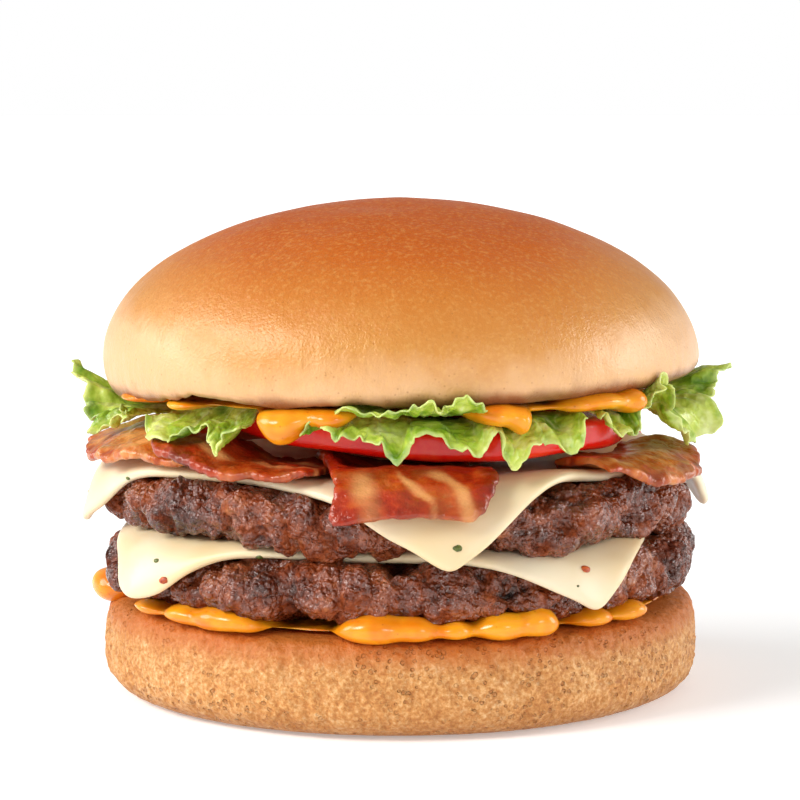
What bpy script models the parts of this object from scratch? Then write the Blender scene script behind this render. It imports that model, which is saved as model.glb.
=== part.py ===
"""A double cheeseburger with bacon, tomato, lettuce and sauce, built up layer by layer.

Units are metres, +Z is up, and the origin is the middle of the flat underside of the bun's heel.
The layers are made from the bottom up. A height grid, the pile, holds the top of what is stacked so
far, and each new layer rests on it with a small gap, so soft layers drape over the ones beneath.
"""

import math

import bmesh
import bpy
import numpy as np
from mathutils import Vector, noise
from mathutils.bvhtree import BVHTree

MM = 0.001

# Driving dimensions
BUN_RADIUS = 52.4 * MM
HEEL_HEIGHT = 16.8 * MM
HEEL_FILLET = 5.8 * MM
PATTY_RADIUS = 50.3 * MM
PATTY_THICKNESS = 9.3 * MM
PATTY_UPPER_ROUND = 4.2 * MM
PATTY_LOWER_ROUND = 5.6 * MM
PATTY_CLUMP = 6.5 * MM
PATTY_CRAG = 3.6 * MM
CHEESE_THICKNESS = 1.5 * MM
CHEESE_SLOPE = 3.8
CHEESE_BEND = 2.2 * MM
BACON_THICKNESS = 1.3 * MM
BACON_RIPPLE = 0.35 * MM
LEAF_THICKNESS = 0.7 * MM
SAUCE_RADIUS = 46 * MM
SAUCE_THICKNESS = 0.6 * MM
SAUCE_BEAD = 12
SAUCE_SLOPE = 2.2
SAUCE_BEND = 1.2 * MM
SAUCE_HANG = 48.6 * MM
CROWN_EQUATOR = 58.2 * MM
CROWN_RISE = 27.4 * MM
CROWN_RIM_RADIUS = 49.8 * MM
CROWN_RIM_HEIGHT = 53.7 * MM
CROWN_RIM_SLOPE = 0.036
RIM_CLEARANCE = 2.2 * MM
GAP = 0.35 * MM

# The height grid
PILE_HALF_WIDTH = 75 * MM
PILE_CELL = 1 * MM
PILE_REACH = 14 * MM
SKY = 0.2

# Facets
BUN_STEPS = 48
PATTY_STEPS = 82
SAUCE_STEPS = 56
TOMATO_STEPS = 32
CHEESE_CELLS = 13
STRIP_CELLS = (16, 4)
FACET_SAMPLES = [(i / 4, j / 4, 1 - i / 4 - j / 4) for i in range(5) for j in range(5 - i)]
CLEARING_ROUNDS = 90
LEAF_ROWS = 4
LAPPED_LEAF_ROWS = 6
LEAF_COLUMN = 3.1

# Colours and finish of each material: red, green, blue, roughness
FINISHES = {
    "crust": (0.62, 0.30, 0.09, 0.45),
    "crumb": (0.68, 0.40, 0.17, 0.75),
    "beef": (0.10, 0.04, 0.02, 0.40),
    "cheese": (0.90, 0.84, 0.62, 0.40),
    "bacon": (0.42, 0.12, 0.04, 0.35),
    "tomato": (0.68, 0.05, 0.03, 0.25),
    "lettuce": (0.36, 0.58, 0.10, 0.45),
    "sauce": (0.90, 0.36, 0.05, 0.20),
}

# Cheese slices: side in millimetres, how much its corners are cut back, centre in millimetres, the way that
# one corner points in degrees, and the waves in the slice's edge as azimuth, half width and height
CHEESE_SLICES = {
    "cheese_lower": (90.5, 0.09, (-1.2, 0), -53.0, ((-84, 14, 0.5), (70, 14, 1.2))),
    "cheese_upper": (90, 0.055, (0, -2.5), -81.0, ((-60, 12, 3.2), (-128, 12, 0.8), (140, 14, 1.6))),
}

# Bacon strips: width, steepness of the hanging end, rise of the inner side, and stations along the middle
BACON_STRIPS = {
    "bacon_left": (14, 1.0, 3.2, ((-49, 4), (-44.5, -14), (-32, -30.5))),
    "bacon_front_left": (17, 0.8, 2.4, ((-35.5, -24.5), (-24.5, -36.5), (-12, -41))),
    "bacon_back": (22, 0.9, 3.0, ((42, 22), (0, 39), (-40, 24))),
    "bacon_right": (14, 0.9, 3.2, ((30, -36), (39.5, -25), (46, -10))),
    "bacon_front": (25, 3.2, 0, ((1, -56), (1, -44), (0, -27))),
}

# Tomato slices: radius, thickness and centre, seen from above
TOMATO_SLICES = {"tomato_back": (21, 5.0, (-4, 30.5)), "tomato_front": (36.4, 6.0, (3, -9.2))}

# Lettuce: the outer edge of each leaf as azimuth in degrees, radius and height in millimetres
LEAF_EDGES = {
    "lettuce_left": (
        (148, 51, 48), (156, 55, 53), (164, 54, 48), (171, 57, 55.5), (176, 58.5, 56), (181, 56, 50),
        (187, 56, 46.5), (192, 53, 46), (197, 50.5, 49), (202, 50, 50.5),
    ),
    "lettuce_front_left": (
        (-147.5, 50.5, 51.2), (-143.5, 52, 48.6), (-139.5, 52.5, 46.9), (-135.5, 52.5, 47.2),
        (-131.5, 52, 48.4), (-128.8, 51.5, 49.2), (-126.6, 52.5, 47.4), (-124.6, 53, 46.6),
        (-122.5, 52.5, 48), (-120, 51.5, 51),
    ),
    "lettuce_front": (
        (-107.6, 52.2, 49.6), (-105, 51.5, 51.4), (-103, 51.8, 51.2), (-101.2, 53, 48.6),
        (-99, 52, 49.8), (-96, 52, 49.7), (-94, 52.5, 47.2), (-90.6, 53, 45.4), (-88.4, 52.3, 48.6),
        (-86.6, 52, 50.6), (-82.4, 52, 50), (-80.2, 52.5, 47.3), (-77.6, 53, 46.7), (-74.6, 52.5, 47.4),
        (-72.2, 51.5, 50.8),
    ),
    "lettuce_frill": (
        (-102, 52, 52.8), (-98.5, 53.5, 53.7), (-95, 52.8, 53.1), (-91.8, 53.3, 53.4), (-88.8, 54, 54.9),
        (-86.4, 55, 55.6), (-84, 54.5, 55.3), (-82, 53.3, 54.3), (-79.6, 54.5, 55.2), (-77, 54.5, 55.1),
        (-74.6, 53, 53.6),
    ),
    "lettuce_front_right": (
        (-71.6, 51.3, 50.2), (-70.9, 52.4, 46), (-69.4, 53, 44.6), (-66.8, 53, 45.8), (-64, 52.4, 47.3),
        (-62, 51.8, 48.2), (-60.2, 52.5, 47), (-57.8, 53, 46.8), (-55.6, 52.3, 48.6), (-52.8, 51.3, 51.6),
    ),
    "lettuce_right": (
        (-50, 51.2, 51.6), (-47.6, 52.2, 49.4), (-45, 53, 47.3), (-41, 52.6, 48.6), (-38.6, 53, 52.5),
        (-36, 54.2, 56), (-33, 54.6, 57.8), (-30, 54, 52), (-27, 54, 46.4), (-22, 53, 46.2),
        (-17, 53, 44.8), (-12, 55, 45.8), (-7, 56, 50.5), (-2.5, 55.5, 51.5), (1, 57.5, 54.6),
        (3.5, 59.5, 57.5), (8, 57, 53.5), (13, 54, 49),
    ),
    "lettuce_back_right": (
        (21, 52, 49), (27, 53.5, 46.5), (33, 54, 52.5), (39, 56, 55), (45, 53.5, 50), (51, 53, 46),
        (57, 54, 50), (63, 56, 54.5), (70, 53.5, 49), (77, 52, 46.5),
    ),
    "lettuce_back_left": (
        (85, 52, 48), (91, 54, 51.5), (98, 56, 55), (104, 53.5, 50), (110, 52.5, 46), (116, 54, 50),
        (123, 56, 54.5), (130, 53.5, 49), (137, 52, 46.5), (142, 52, 49),
    ),
}
LEAF_ROOT_RADIUS = 37 * MM
LEAF_SHOULDER_RADIUS = 47 * MM
LEAF_FRILL = 0.9 * MM
TOP_LEAF = "lettuce_frill"
LAPPED_LEAVES = ("lettuce_front", "lettuce_frill")
TOP_LEAF_ROOM = 2 * (LEAF_THICKNESS + GAP)

# Sauce that squeezes out: azimuth and half width in degrees, reach from the axis and depth in millimetres
LOWER_BLOBS = (
    (-178, 7, 54.4, 4.6), (-146, 8, 53.0, 3.6), (-124, 8, 53.4, 4.2), (-94, 12, 53.6, 4.8),
    (-78, 4, 53.2, 3.4), (-65, 8, 53.6, 5.0), (-40, 9, 53.2, 3.6), (20, 10, 53.4, 4.4), (64, 12, 53.2, 4.6),
    (112, 9, 53.4, 4.0), (150, 10, 53.2, 4.4),
)
UPPER_BLOBS = (
    (-154, 7, 52.0, 3.0), (-113.5, 5.5, 53.6, 7.0), (-68.5, 5.5, 53.2, 4.0), (-45, 9, 52.8, 3.6),
    (17, 6, 52.8, 4.6), (81, 6, 52.8, 4.6), (145, 5, 52.8, 4.2),
)


def material(name):
    """The material of that name, made on first use."""
    made = bpy.data.materials.get(name)
    if made:
        return made
    red, green, blue, roughness = FINISHES[name]
    made = bpy.data.materials.new(name)
    made.use_nodes = True
    shader = made.node_tree.nodes["Principled BSDF"]
    shader.inputs["Base Color"].default_value = (red, green, blue, 1)
    shader.inputs["Roughness"].default_value = roughness
    shader.inputs["Metallic"].default_value = 0
    return made


def points_of(obj):
    """The vertices of a mesh object as an array of rows x, y, z."""
    points = np.empty(len(obj.data.vertices) * 3)
    obj.data.vertices.foreach_get("co", points)
    return points.reshape(-1, 3)


def set_points(obj, points):
    """Moves the vertices of a mesh object to the rows x, y, z."""
    obj.data.vertices.foreach_set("co", np.ascontiguousarray(points).ravel())
    obj.data.update()


def applied(obj):
    """Replaces the object's mesh by what its modifiers make of it."""
    graph = bpy.context.evaluated_depsgraph_get()
    mesh = bpy.data.meshes.new_from_object(obj.evaluated_get(graph))
    obj.modifiers.clear()
    obj.data = mesh
    return obj


def new_object(name, mesh, finish):
    """Puts a mesh into the burger's collection as a node with its material."""
    obj = bpy.data.objects.new(name, mesh)
    bpy.data.collections["cheeseburger"].objects.link(obj)
    mesh.materials.append(material(finish))
    return obj


def split_faces(obj):
    """Splits a piece's faces into triangles, so that each keeps its form when its corners move."""
    cut = bmesh.new()
    cut.from_mesh(obj.data)
    bmesh.ops.triangulate(cut, faces=cut.faces)
    cut.to_mesh(obj.data)
    cut.free()


def turned(name, profile, steps, finish):
    """A round body from a profile of (radius, height) points that runs from its top to its bottom."""
    mesh = bpy.data.meshes.new(name)
    edges = [(i, i + 1) for i in range(len(profile) - 1)]
    mesh.from_pydata([(radius, 0, height) for radius, height in profile], edges, [])
    obj = new_object(name, mesh, finish)
    screw = obj.modifiers.new("Turn", "SCREW")
    screw.steps = steps
    screw.render_steps = steps
    screw.use_merge_vertices = True
    screw.merge_threshold = 0.00001
    screw.use_smooth_shade = True
    applied(obj)
    split_faces(obj)
    return obj


def sheet(name, columns, rows, finish):
    """A flat grid over the unit square from 0 to 1, split into triangles, that will be bent into a sheet."""
    mesh = bpy.data.meshes.new(name)
    grid = bmesh.new()
    bmesh.ops.create_grid(grid, x_segments=columns, y_segments=rows, size=0.5)
    bmesh.ops.translate(grid, verts=grid.verts, vec=(0.5, 0.5, 0))
    bmesh.ops.triangulate(grid, faces=grid.faces)
    grid.to_mesh(mesh)
    grid.free()
    return new_object(name, mesh, finish)


def thickened(obj, thickness):
    """Gives a sheet its thickness, upwards and outwards from the surface that it was laid on."""
    solidify = obj.modifiers.new("Thickness", "SOLIDIFY")
    solidify.thickness = thickness
    solidify.offset = 1
    solidify.use_even_offset = True
    solidify.thickness_clamp = 1.0
    applied(obj)
    obj.data.shade_smooth()
    return obj


def smooth_noise(place, size, seed):
    """Noise from -1 to 1 that changes over the given size."""
    return noise.noise(Vector(place) / size + Vector((seed, 2.3 * seed, -1.7 * seed)))


def rim_noise(azimuth, waves, seed):
    """Noise from -1 to 1 round a rim, with about that many waves in a turn."""
    around = Vector((math.cos(azimuth), math.sin(azimuth), 0)) * waves / 6
    return noise.noise(around + Vector((seed, seed, seed)))


def through(stations, share):
    """The point at a share from 0 to 1 along a smooth curve through the stations."""
    spans = len(stations) - 1
    at = min(share * spans, spans - 1e-9)
    i = int(at)
    t = at - i
    before, start, end, after = (
        np.array(stations[min(max(k, 0), spans)], float) for k in range(i - 1, i + 3)
    )
    bend = 2 * before - 5 * start + 4 * end - after
    turn = 3 * (start - end) + after - before
    return start + 0.5 * t * (end - before + t * (bend + t * turn))


def scan(axis, obj):
    """The height of a piece's top on the grid, and not a number where it isn't."""
    tree = BVHTree.FromPolygons([v.co for v in obj.data.vertices], [p.vertices for p in obj.data.polygons])
    points = points_of(obj)
    low, high = points.min(axis=0), points.max(axis=0)
    grid = np.full((len(axis), len(axis)), np.nan)
    for i in np.flatnonzero((axis >= low[0]) & (axis <= high[0])):
        for j in np.flatnonzero((axis >= low[1]) & (axis <= high[1])):
            hit = tree.ray_cast(Vector((axis[i], axis[j], SKY)), Vector((0, 0, -1)))[0]
            if hit:
                grid[i, j] = hit.z
    return grid


def spread(grid):
    """The highest of each cell and its neighbours, so that coarse facets stay clear of the grid."""
    wide = grid.copy()
    for i in (-1, 0, 1):
        for j in (-1, 0, 1):
            wide = np.maximum(wide, np.roll(grid, (i, j), (0, 1)))
    return wide


def sampled(grid, x, y):
    """The height of a grid at points between its cells."""
    last = grid.shape[0] - 2
    u = np.clip((np.asarray(x) + PILE_HALF_WIDTH) / PILE_CELL, 0, last)
    v = np.clip((np.asarray(y) + PILE_HALF_WIDTH) / PILE_CELL, 0, last)
    i, j = u.astype(int), v.astype(int)
    p, q = u - i, v - j
    return (
        grid[i, j] * (1 - p) * (1 - q) + grid[i + 1, j] * p * (1 - q)
        + grid[i, j + 1] * (1 - p) * q + grid[i + 1, j + 1] * p * q
    )


class Pile:
    """The height of everything stacked so far, on a square grid seen from above."""

    def __init__(self):
        cells = round(2 * PILE_HALF_WIDTH / PILE_CELL) + 1
        self.axis = np.linspace(-PILE_HALF_WIDTH, PILE_HALF_WIDTH, cells)
        self.height = np.zeros((cells, cells))

    def add(self, obj):
        """Raises the grid to the top of a finished piece."""
        self.height = np.fmax(self.height, scan(self.axis, obj))

    def floor(self):
        """The height that the next piece has to stay above."""
        return spread(self.height) + GAP

    def skin(self, slope, bend, radius=SKY, centre=(0, 0)):
        """The lowest surface over the floor that falls no faster than slope and rounds edges off over bend.

        Only what lies within the radius about the centre holds it up.
        """
        away = np.hypot(self.axis[:, None] - centre[0], self.axis[None, :] - centre[1])
        floor = np.where(away < radius, self.floor(), 0)
        skin = floor.copy()
        reach = round(PILE_REACH / PILE_CELL)
        for i in range(-reach, reach + 1):
            for j in range(-reach, reach + 1):
                drop = slope * (math.hypot(i * PILE_CELL, j * PILE_CELL, bend) - bend)
                skin = np.maximum(skin, np.roll(floor, (i, j), (0, 1)) - drop)
        return skin


def columns_of(obj):
    """Numbers the vertices of a flat body so that those above one another share a number."""
    spots = np.round(points_of(obj)[:, :2], 5)
    return np.unique(spots, axis=0, return_inverse=True)[1].ravel()


def move_clear(obj, limit, up=True, facing=True, columns=None, free=1):
    """Moves the corners of each facet straight up from a floor, or down from a roof, until it is clear.

    With facing, only the facets that face the floor or roof are moved. Where columns number the vertices,
    those with one number move together. Vertices whose entry in free is 0 stay.
    """
    way = 1 if up else -1
    obj.data.calc_loop_triangles()
    corners = np.array([t.vertices for t in obj.data.loop_triangles if not facing or way * t.normal.z < 0])
    points = points_of(obj)
    for _ in range(CLEARING_ROUNDS):
        shift = np.zeros(len(points))
        for weight in FACET_SAMPLES:
            inside = np.einsum("k,nkc->nc", np.array(weight), points[corners])
            short = way * (sampled(limit, inside[:, 0], inside[:, 1]) - inside[:, 2])
            for k in range(3):
                share = weight[k] / sum(w * w for w in weight)
                np.maximum.at(shift, corners[:, k], short * share)
        if shift.max() < 0.005 * MM:
            break
        if columns is not None:
            highest = np.zeros(columns.max() + 1)
            np.maximum.at(highest, columns, shift)
            shift = highest[columns]
        points[:, 2] += way * shift * free
    set_points(obj, points)


def bun_heel():
    """The cut bottom half of the bun, flat below and rounded off at its edges."""
    flat = BUN_RADIUS - HEEL_FILLET
    fillet = [
        (flat + HEEL_FILLET * math.cos(a), HEEL_FILLET * (1 + math.sin(a)))
        for a in (0, math.radians(-30), math.radians(-60), math.radians(-90))
    ]
    profile = [
        (0, HEEL_HEIGHT), (0.7 * BUN_RADIUS, HEEL_HEIGHT), (BUN_RADIUS - 3.6 * MM, HEEL_HEIGHT - 0.1 * MM),
        (BUN_RADIUS - 1.3 * MM, HEEL_HEIGHT - 1.3 * MM), (BUN_RADIUS - 0.2 * MM, HEEL_HEIGHT - 4 * MM),
        *fillet, (0, 0),
    ]
    obj = turned("bun_heel", profile, BUN_STEPS, "crumb")
    points = points_of(obj)
    for point in points:
        azimuth = math.atan2(point[1], point[0])
        high = point[2] / HEEL_HEIGHT
        outer = math.hypot(point[0], point[1]) / BUN_RADIUS
        point[:2] *= 1 + 0.006 * rim_noise(azimuth, 16, 3.1) * min(1, 3 * high)
        point[2] += 0.5 * MM * rim_noise(azimuth, 22, 7.7) * high**3 * outer**2
    set_points(obj, points)
    return obj


def patty(name, pile, seed):
    """A flat beef patty whose craggy edge bulges out, resting on what is below it."""
    half = PATTY_THICKNESS / 2
    side = []
    for angle in (84, 58, 30, 5, -20, -46, -66, -84):
        rounding = PATTY_UPPER_ROUND if angle > 0 else PATTY_LOWER_ROUND
        angle = math.radians(angle)
        side.append((PATTY_RADIUS - rounding * (1 - math.cos(angle)), half * math.sin(angle)))
    profile = [
        (0, half), (0.45 * PATTY_RADIUS, half), (0.78 * PATTY_RADIUS, half), *side,
        (0.78 * PATTY_RADIUS, -half), (0, -half),
    ]
    obj = turned(name, profile, PATTY_STEPS, "beef")
    skin = pile.skin(0.15, 8 * MM, 0.85 * PATTY_RADIUS)
    points = points_of(obj)
    for point in points:
        azimuth = math.atan2(point[1], point[0])
        outer = min(1, math.hypot(point[0], point[1]) / PATTY_RADIUS) ** 6
        clump = 0.55 - noise.voronoi(Vector(point) / PATTY_CLUMP + Vector((seed, 0, 0)))[0][0]
        lump = 1.4 * clump + 0.8 * smooth_noise(point, 6 * MM, seed) + 0.25 * rim_noise(azimuth, 14, seed)
        point[:2] *= 1 + outer * lump * PATTY_CRAG / PATTY_RADIUS
        point[2] += 1.0 * MM * outer * smooth_noise(point, 9 * MM, seed + 9)
    base = sampled(skin, points[:, 0], points[:, 1])
    middle = sampled(skin, 0, 0)
    points[:, 2] += half + 0.5 * (base + middle)
    set_points(obj, points)
    move_clear(obj, pile.floor())
    return obj


def cheese(name, pile):
    """A square slice that has softened over a patty, with its corners hanging down outside."""
    side, cut, centre, corner, waves = CHEESE_SLICES[name]
    obj = sheet(name, CHEESE_CELLS, CHEESE_CELLS, "cheese")
    skin = pile.skin(CHEESE_SLOPE, CHEESE_BEND)
    points = points_of(obj)
    for point in points:
        # Cells are smaller towards the edges, where the slice bends.
        u, v = (math.sin(1.15 * (2 * share - 1)) / math.sin(1.15) for share in point[:2])
        rounding = 1 - cut * (u * v) ** 4
        away = math.hypot(u, v) * rounding * side / 2 * MM
        azimuth = math.atan2(v, u) + math.radians(corner - 45)
        radii = np.linspace(0, away, 80)
        x, y = (c * MM + radii * turn for c, turn in zip(centre, (math.cos(azimuth), math.sin(azimuth))))
        heights = sampled(skin, x, y)
        run = np.concatenate([[0], np.cumsum(np.hypot(np.diff(radii), np.diff(heights)))])
        point[:] = [np.interp(away, run, track) for track in (x, y, heights)]
        for at, half_width, height in waves:
            off = (math.degrees(azimuth) - at + 180) % 360 - 180
            point[2] += height * MM * math.exp(-((off / half_width) ** 2)) * max(abs(u), abs(v)) ** 6
    set_points(obj, points)
    move_clear(obj, pile.floor(), facing=False)
    return thickened(obj, CHEESE_THICKNESS)


def bacon(name, pile, seed):
    """A crumpled fried strip that lies along its path and bends down past the edge of the patty."""
    width, steepness, rise, path = BACON_STRIPS[name]
    obj = sheet(name, *STRIP_CELLS, "bacon")
    skin = pile.skin(steepness, 4 * MM)
    length = sum(math.dist(a, b) for a, b in zip(path, path[1:]))
    points = points_of(obj)
    for point in points:
        along, across = point[0], 2 * point[1] - 1
        here = through(path, along)
        heading = through(path, min(along + 0.01, 1)) - through(path, max(along - 0.01, 0))
        heading /= np.linalg.norm(heading)
        ragged = 1 + 0.14 * noise.noise(Vector((4 * along, across, seed)))
        taper = 1 - 0.2 * abs(2 * along - 1) ** 6
        aside = width / 2 * (across * taper * ragged + 0.1 * math.sin(7 * along + seed))
        x, y = (here + aside * np.array((-heading[1], heading[0]))) * MM
        ripple = 1 + math.sin(math.tau * along * length / 13 + 1.3 * across + seed)
        curl = across**2 * (1 + math.sin(math.tau * along * length / 21 + 2.1 * seed + 1.5 * across))
        free = min(math.dist((x / MM, y / MM), place) - out for out, _, place in TOMATO_SLICES.values())
        loose = min(1, max(0.1, (free + 1) / 7))
        lie = 0.5 * rise * MM * (1 + across) + BACON_RIPPLE * (ripple + curl)
        point[:] = x, y, sampled(skin, x, y) + lie * loose
    set_points(obj, points)
    move_clear(obj, pile.floor(), facing=False)
    return thickened(obj, BACON_THICKNESS)


def tomato(name, pile, seed):
    """A round tomato slice whose skin shows as its edge."""
    radius, thickness, centre = TOMATO_SLICES[name]
    profile = [(0, 1), (0.6, 1), (0.95, 1), (1, 0.84), (1, 0.12), (0.965, 0), (0.6, 0), (0, 0)]
    profile = [(out * radius * MM, height * thickness * MM) for out, height in profile]
    obj = turned(name, profile, TOMATO_STEPS, "tomato")
    columns = columns_of(obj)
    centre = np.array(centre) * MM
    skin = pile.skin(0.16, 6 * MM, radius * MM, centre)
    points = points_of(obj)
    for point in points:
        azimuth = math.atan2(point[1], point[0])
        point[:2] *= 1 + 0.02 * rim_noise(azimuth, 9, seed)
        point[:2] += centre
        point[2] += sampled(skin, point[0], point[1])
    set_points(obj, points)
    move_clear(obj, pile.floor(), columns=columns)
    return obj


def under_crown(x, y):
    """The height that filling stays below at a place: the crown's rim, then its side, then open air."""
    radius = np.hypot(x, y) - RIM_CLEARANCE
    rim = CROWN_RIM_HEIGHT + CROWN_RIM_SLOPE * x
    outside = np.clip((radius - CROWN_RIM_RADIUS) / (BUN_RADIUS - CROWN_RIM_RADIUS), 0, 1)
    return np.where(radius < BUN_RADIUS, rim + (CROWN_EQUATOR - rim) * outside**2, SKY) - GAP


def leaf(name, pile, seed):
    """A thin wavy leaf: its root lies under the crown, and its frilled edge shows outside."""
    edge = LEAF_EDGES[name]
    columns = max(8, round((edge[-1][0] - edge[0][0]) / LEAF_COLUMN))
    obj = sheet(name, columns, LAPPED_LEAF_ROWS if name in LAPPED_LEAVES else LEAF_ROWS, "lettuce")
    skin = pile.skin(1.2, 2 * MM)
    points = points_of(obj)
    for point in points:
        share, out = 1 - point[0], point[1]
        azimuth, radius, height = through(edge, share)
        middle = 0.5 * (edge[0][0] + edge[-1][0])
        azimuth = math.radians(middle + (azimuth - middle) * (0.86 + 0.14 * out))
        radius, height = radius * MM, height * MM
        radius += LEAF_FRILL * out**3 * math.sin(3.1 * columns * share + seed)
        spread = (1 - out) ** 2, 2 * out * (1 - out), out**2
        reach = spread[0] * LEAF_ROOT_RADIUS + spread[1] * LEAF_SHOULDER_RADIUS + spread[2] * radius
        x, y = reach * math.cos(azimuth), reach * math.sin(azimuth)
        shoulder = CROWN_RIM_HEIGHT + CROWN_RIM_SLOPE * x - LEAF_THICKNESS - 2 * GAP
        z = spread[0] * sampled(skin, x, y) + spread[1] * shoulder + spread[2] * height
        room = TOP_LEAF_ROOM if name != TOP_LEAF and reach < CROWN_RIM_RADIUS + GAP else 0
        point[:] = x, y, min(z, under_crown(x, y) - LEAF_THICKNESS - GAP - room)
    set_points(obj, points)
    move_clear(obj, pile.floor(), facing=False)
    return thickened(obj, LEAF_THICKNESS)


def sauce(name, pile, blobs, lowest=0, roof=None):
    """A thin layer of sauce that swells into blobs where it is squeezed out at the rim.

    The blobs hang over the pile's edge no lower than the lowest height given, and stay under the roof.
    """
    rings = (0, 0.7, 0.91, 0.975)
    edge = [(1, 0.68), (1, 0.15)]
    profile = [(ring, 1) for ring in rings] + edge + [(ring, 0) for ring in reversed(rings)]
    obj = turned(name, profile, SAUCE_STEPS, "sauce")
    columns = columns_of(obj)
    skin = np.maximum(pile.skin(SAUCE_SLOPE, SAUCE_BEND), lowest)
    points = points_of(obj)
    upper = points[:, 2] > 0.5
    for point in points:
        out = math.hypot(point[0], point[1])
        azimuth = math.atan2(point[1], point[0])
        reach, depth = SAUCE_RADIUS * (1 + 0.03 * rim_noise(azimuth, 12, 4.4)), SAUCE_THICKNESS
        for at, half_width, blob_reach, blob_depth in blobs:
            away = (math.degrees(azimuth) - at + 180) % 360 - 180
            swell = math.exp(-((away / half_width) ** 2))
            reach += (blob_reach * MM - reach) * swell
            depth += (blob_depth * MM - depth) * swell * out**SAUCE_BEAD
        x, y = reach * out * math.cos(azimuth), reach * out * math.sin(azimuth)
        point[:] = x, y, sampled(skin, x, y) + depth * point[2]
    set_points(obj, points)
    move_clear(obj, pile.floor(), columns=columns)
    if roof is None:
        return obj
    move_clear(obj, np.maximum(roof, skin + 0.3 * SAUCE_THICKNESS), up=False, facing=False, free=upper)
    points = points_of(obj)
    underside = np.zeros(columns.max() + 1)
    underside[columns[~upper]] = points[~upper, 2]
    points[upper, 2] = np.maximum(points[upper, 2], underside[columns[upper]] + 0.3 * SAUCE_THICKNESS)
    set_points(obj, points)
    move_clear(obj, pile.floor(), facing=False, columns=columns)
    return obj


def bun_crown(pile):
    """The domed top half of the bun, shaped below by the filling that it presses on."""
    dome = [
        (BUN_RADIUS * math.sin(a), CROWN_EQUATOR + CROWN_RISE * math.cos(a))
        for a in (math.radians(d) for d in (0, 13, 26, 38, 50, 61, 71, 81, 90))
    ]
    drop = CROWN_EQUATOR - CROWN_RIM_HEIGHT
    profile = [
        *dome, (BUN_RADIUS - 0.5 * MM, CROWN_EQUATOR - 0.55 * drop), (CROWN_RIM_RADIUS, CROWN_RIM_HEIGHT),
        *((ring * CROWN_RIM_RADIUS, CROWN_RIM_HEIGHT) for ring in (0.96, 0.86, 0.5, 0)),
    ]
    obj = turned("bun_crown", profile, BUN_STEPS, "crust")
    points = points_of(obj)
    underside = np.hypot(points[:, 0], points[:, 1]) < 0.98 * CROWN_RIM_RADIUS
    for point in points:
        azimuth = math.atan2(point[1], point[0])
        low = min(1, max(0, (CROWN_EQUATOR - point[2]) / drop))
        point[:2] *= 1 + 0.008 * rim_noise(azimuth, 10, 1.3) * (0.4 + 0.6 * low)
        point[2] += CROWN_RIM_SLOPE * point[0] * low
    set_points(obj, points)
    move_clear(obj, pile.floor(), free=underside)
    return obj


def main():
    """Stacks the burger from the bottom up in an empty scene."""
    for obj in list(bpy.data.objects):
        bpy.data.objects.remove(obj)
    bpy.context.scene.collection.children.link(bpy.data.collections.new("cheeseburger"))
    pile = Pile()
    pile.add(bun_heel())
    pile.add(sauce("sauce_lower", pile, LOWER_BLOBS, HEEL_HEIGHT))
    pile.add(patty("patty_lower", pile, 11.0))
    pile.add(cheese("cheese_lower", pile))
    pile.add(patty("patty_upper", pile, 29.0))
    pile.add(cheese("cheese_upper", pile))
    for number, name in enumerate(BACON_STRIPS):
        pile.add(bacon(name, pile, 1.0 + 1.9 * number))
    for number, name in enumerate(TOMATO_SLICES):
        pile.add(tomato(name, pile, 5.0 + number))
    for number, name in enumerate(LEAF_EDGES):
        pile.add(leaf(name, pile, 1.0 + number))
    roof = under_crown(pile.axis[:, None], pile.axis[None, :])
    pile.add(sauce("sauce_upper", pile, UPPER_BLOBS, SAUCE_HANG, roof))
    bun_crown(pile)


main()
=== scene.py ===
"""The looks of a double cheeseburger with bacon, tomato, lettuce and sauce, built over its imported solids.

Each layer is made anew at full detail from the surface of its solid, so it keeps the solid's form and
place. Units are metres and +Z is up. The burger's front faces -Y.
"""

import math

import bmesh
import bpy
import numpy as np
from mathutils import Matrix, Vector, noise
from mathutils.bvhtree import BVHTree


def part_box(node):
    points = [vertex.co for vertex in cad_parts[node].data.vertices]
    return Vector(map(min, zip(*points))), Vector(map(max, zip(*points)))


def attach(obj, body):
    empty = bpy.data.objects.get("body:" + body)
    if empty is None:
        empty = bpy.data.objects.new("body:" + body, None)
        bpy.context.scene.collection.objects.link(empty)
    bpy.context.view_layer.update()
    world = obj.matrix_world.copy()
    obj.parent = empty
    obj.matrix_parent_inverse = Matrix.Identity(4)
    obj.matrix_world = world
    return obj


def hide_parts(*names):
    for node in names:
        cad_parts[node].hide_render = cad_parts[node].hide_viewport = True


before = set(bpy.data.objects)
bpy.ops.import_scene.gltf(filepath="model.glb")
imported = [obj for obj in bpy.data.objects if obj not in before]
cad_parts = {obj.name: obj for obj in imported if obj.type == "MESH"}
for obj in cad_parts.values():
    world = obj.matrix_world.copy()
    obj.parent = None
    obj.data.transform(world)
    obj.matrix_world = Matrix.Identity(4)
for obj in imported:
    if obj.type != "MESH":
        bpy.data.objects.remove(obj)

MM = 0.001
TAU = math.tau
FAR = 1.0
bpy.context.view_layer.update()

# The camera, worked out from how the bun's rims and layers line up in the photograph
CAMERA_DISTANCE = 500 * MM
CAMERA_HEIGHT = 104 * MM
CAMERA_TILT = math.radians(6.16)
FOCAL_PIXELS = 2846
FRAME_PIXELS = 800
SENSOR_WIDTH = 36

# The studio: the floor, and the sky, whose white band ends between the first two heights and whose
# brightness is the third number in the band and the fourth above it
FLOOR_HALF_WIDTH = 12
FLOOR_GLOW = 0.30
SKY_RANGE = (0.05, 0.16, 1.0, 0.40)

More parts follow.
